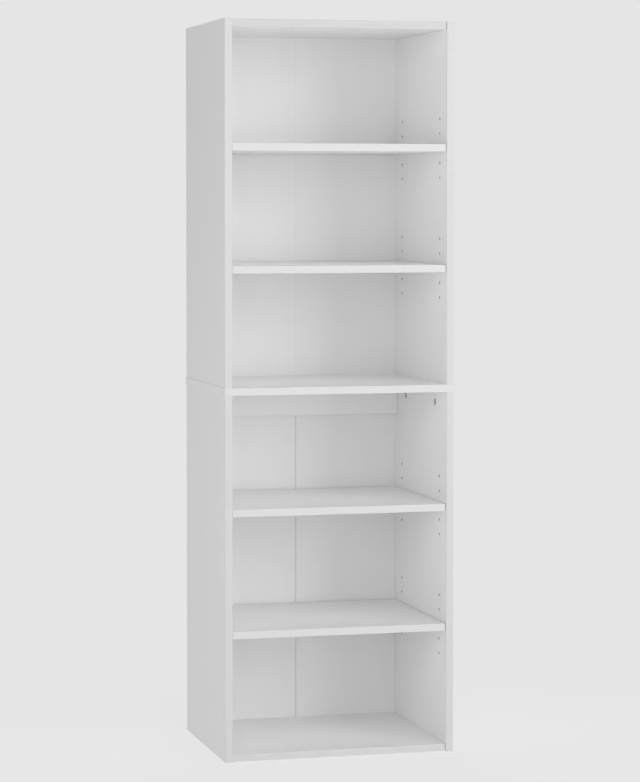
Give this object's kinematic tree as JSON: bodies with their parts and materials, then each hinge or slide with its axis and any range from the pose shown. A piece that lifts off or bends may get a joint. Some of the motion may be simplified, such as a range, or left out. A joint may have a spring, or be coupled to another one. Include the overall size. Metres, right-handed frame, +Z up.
{
  "type": "bookcase",
  "caption": "Tall narrow white bookcase of two stacked open units, with draw-out adjustable shelves on hidden wires, cam-locked panels and a thin nailed back.",
  "frame": {"origin": "on the floor under the middle of the bookcase", "axes": "+Z up; +Y towards the back, so the open front faces -Y; +X to the right when facing the open front"},
  "size_m": [0.51, 0.3942, 1.5846],
  "materials": {
    "white_board": "white melamine-faced chipboard with a fine satin texture and white edge banding",
    "white_hardboard": "thin hardboard, painted white on the front and raw brown behind",
    "tape": "woven adhesive tape",
    "wire_steel": "drawn steel wire, zinc-plated",
    "cam_zinc": "die-cast zinc",
    "bolt_steel": "turned steel, zinc-plated",
    "dowel_beech": "turned beech, unfinished"
  },
  "bodies": {
    "carcass": {"lower_left_side": "white_board", "lower_right_side": "white_board", "upper_left_side": "white_board", "upper_right_side": "white_board", "bottom_panel": "white_board", "middle_panel": "white_board", "top_panel": "white_board", "lower_back_rail": "white_board", "lower_back_left": "white_hardboard", "lower_back_right": "white_hardboard", "upper_back_left": "white_hardboard", "upper_back_right": "white_hardboard", "lower_back_tape": "tape", "upper_back_tape": "tape", "lower_shelf_1_wire_left": "wire_steel", "lower_shelf_1_wire_right": "wire_steel", "lower_shelf_2_wire_left": "wire_steel", "lower_shelf_2_wire_right": "wire_steel", "upper_shelf_1_wire_left": "wire_steel", "upper_shelf_1_wire_right": "wire_steel", "upper_shelf_2_wire_left": "wire_steel", "upper_shelf_2_wire_right": "wire_steel", "bottom_left_front_bolt": "bolt_steel", "bottom_left_rear_bolt": "bolt_steel", "bottom_right_front_bolt": "bolt_steel", "bottom_right_rear_bolt": "bolt_steel", "middle_left_front_bolt": "bolt_steel", "middle_left_rear_bolt": "bolt_steel", "middle_right_front_bolt": "bolt_steel", "middle_right_rear_bolt": "bolt_steel", "top_left_front_bolt": "bolt_steel", "top_left_rear_bolt": "bolt_steel", "top_right_front_bolt": "bolt_steel", "top_right_rear_bolt": "bolt_steel", "stacking_dowel_left_front": "dowel_beech", "stacking_dowel_left_rear": "dowel_beech", "stacking_dowel_right_front": "dowel_beech", "stacking_dowel_right_rear": "dowel_beech", "rail_dowel_left_lower": "dowel_beech", "rail_dowel_left_upper": "dowel_beech", "rail_dowel_right_lower": "dowel_beech", "rail_dowel_right_upper": "dowel_beech"},
    "lower_shelf_1": {"lower_shelf_1": "white_board"},
    "lower_shelf_2": {"lower_shelf_2": "white_board"},
    "upper_shelf_1": {"upper_shelf_1": "white_board"},
    "upper_shelf_2": {"upper_shelf_2": "white_board"},
    "bottom_left_front_cam": {"bottom_left_front_cam": "cam_zinc"},
    "bottom_left_rear_cam": {"bottom_left_rear_cam": "cam_zinc"},
    "bottom_right_front_cam": {"bottom_right_front_cam": "cam_zinc"},
    "bottom_right_rear_cam": {"bottom_right_rear_cam": "cam_zinc"},
    "middle_left_front_cam": {"middle_left_front_cam": "cam_zinc"},
    "middle_left_rear_cam": {"middle_left_rear_cam": "cam_zinc"},
    "middle_right_front_cam": {"middle_right_front_cam": "cam_zinc"},
    "middle_right_rear_cam": {"middle_right_rear_cam": "cam_zinc"},
    "top_left_front_cam": {"top_left_front_cam": "cam_zinc"},
    "top_left_rear_cam": {"top_left_rear_cam": "cam_zinc"},
    "top_right_front_cam": {"top_right_front_cam": "cam_zinc"},
    "top_right_rear_cam": {"top_right_rear_cam": "cam_zinc"}
  },
  "joints": [
    {"name": "lower_shelf_1_draw", "type": "slide", "parent": "carcass", "child": "lower_shelf_1", "axis": [0, -1, 0], "range_m": [0, 0.39]},
    {"name": "lower_shelf_2_draw", "type": "slide", "parent": "carcass", "child": "lower_shelf_2", "axis": [0, -1, 0], "range_m": [0, 0.39]},
    {"name": "upper_shelf_1_draw", "type": "slide", "parent": "carcass", "child": "upper_shelf_1", "axis": [0, -1, 0], "range_m": [0, 0.39]},
    {"name": "upper_shelf_2_draw", "type": "slide", "parent": "carcass", "child": "upper_shelf_2", "axis": [0, -1, 0], "range_m": [0, 0.39]},
    {"name": "bottom_left_front_cam_turn", "type": "hinge", "parent": "carcass", "child": "bottom_left_front_cam", "pos_m": [-0.2107, -0.11305, 0.001], "axis": [0, 0, -1], "range_deg": [0, 180]},
    {"name": "bottom_left_rear_cam_turn", "type": "hinge", "parent": "carcass", "child": "bottom_left_rear_cam", "pos_m": [-0.2107, 0.11095, 0.001], "axis": [0, 0, -1], "range_deg": [0, 180]},
    {"name": "bottom_right_front_cam_turn", "type": "hinge", "parent": "carcass", "child": "bottom_right_front_cam", "pos_m": [0.2107, -0.11305, 0.001], "axis": [0, 0, -1], "range_deg": [0, 180]},
    {"name": "bottom_right_rear_cam_turn", "type": "hinge", "parent": "carcass", "child": "bottom_right_rear_cam", "pos_m": [0.2107, 0.11095, 0.001], "axis": [0, 0, -1], "range_deg": [0, 180]},
    {"name": "middle_left_front_cam_turn", "type": "hinge", "parent": "carcass", "child": "middle_left_front_cam", "pos_m": [-0.238, -0.11305, 0.757], "axis": [1, 0, 0], "range_deg": [0, 180]},
    {"name": "middle_left_rear_cam_turn", "type": "hinge", "parent": "carcass", "child": "middle_left_rear_cam", "pos_m": [-0.238, 0.11095, 0.757], "axis": [1, 0, 0], "range_deg": [0, 180]},
    {"name": "middle_right_front_cam_turn", "type": "hinge", "parent": "carcass", "child": "middle_right_front_cam", "pos_m": [0.238, -0.11305, 0.757], "axis": [-1, 0, 0], "range_deg": [0, 180]},
    {"name": "middle_right_rear_cam_turn", "type": "hinge", "parent": "carcass", "child": "middle_right_rear_cam", "pos_m": [0.238, 0.11095, 0.757], "axis": [-1, 0, 0], "range_deg": [0, 180]},
    {"name": "top_left_front_cam_turn", "type": "hinge", "parent": "carcass", "child": "top_left_front_cam", "pos_m": [-0.2107, -0.11305, 1.5836], "axis": [0, 0, 1], "range_deg": [0, 180]},
    {"name": "top_left_rear_cam_turn", "type": "hinge", "parent": "carcass", "child": "top_left_rear_cam", "pos_m": [-0.2107, 0.11095, 1.5836], "axis": [0, 0, 1], "range_deg": [0, 180]},
    {"name": "top_right_front_cam_turn", "type": "hinge", "parent": "carcass", "child": "top_right_front_cam", "pos_m": [0.2107, -0.11305, 1.5836], "axis": [0, 0, 1], "range_deg": [0, 180]},
    {"name": "top_right_rear_cam_turn", "type": "hinge", "parent": "carcass", "child": "top_right_rear_cam", "pos_m": [0.2107, 0.11095, 1.5836], "axis": [0, 0, 1], "range_deg": [0, 180]}
  ]
}
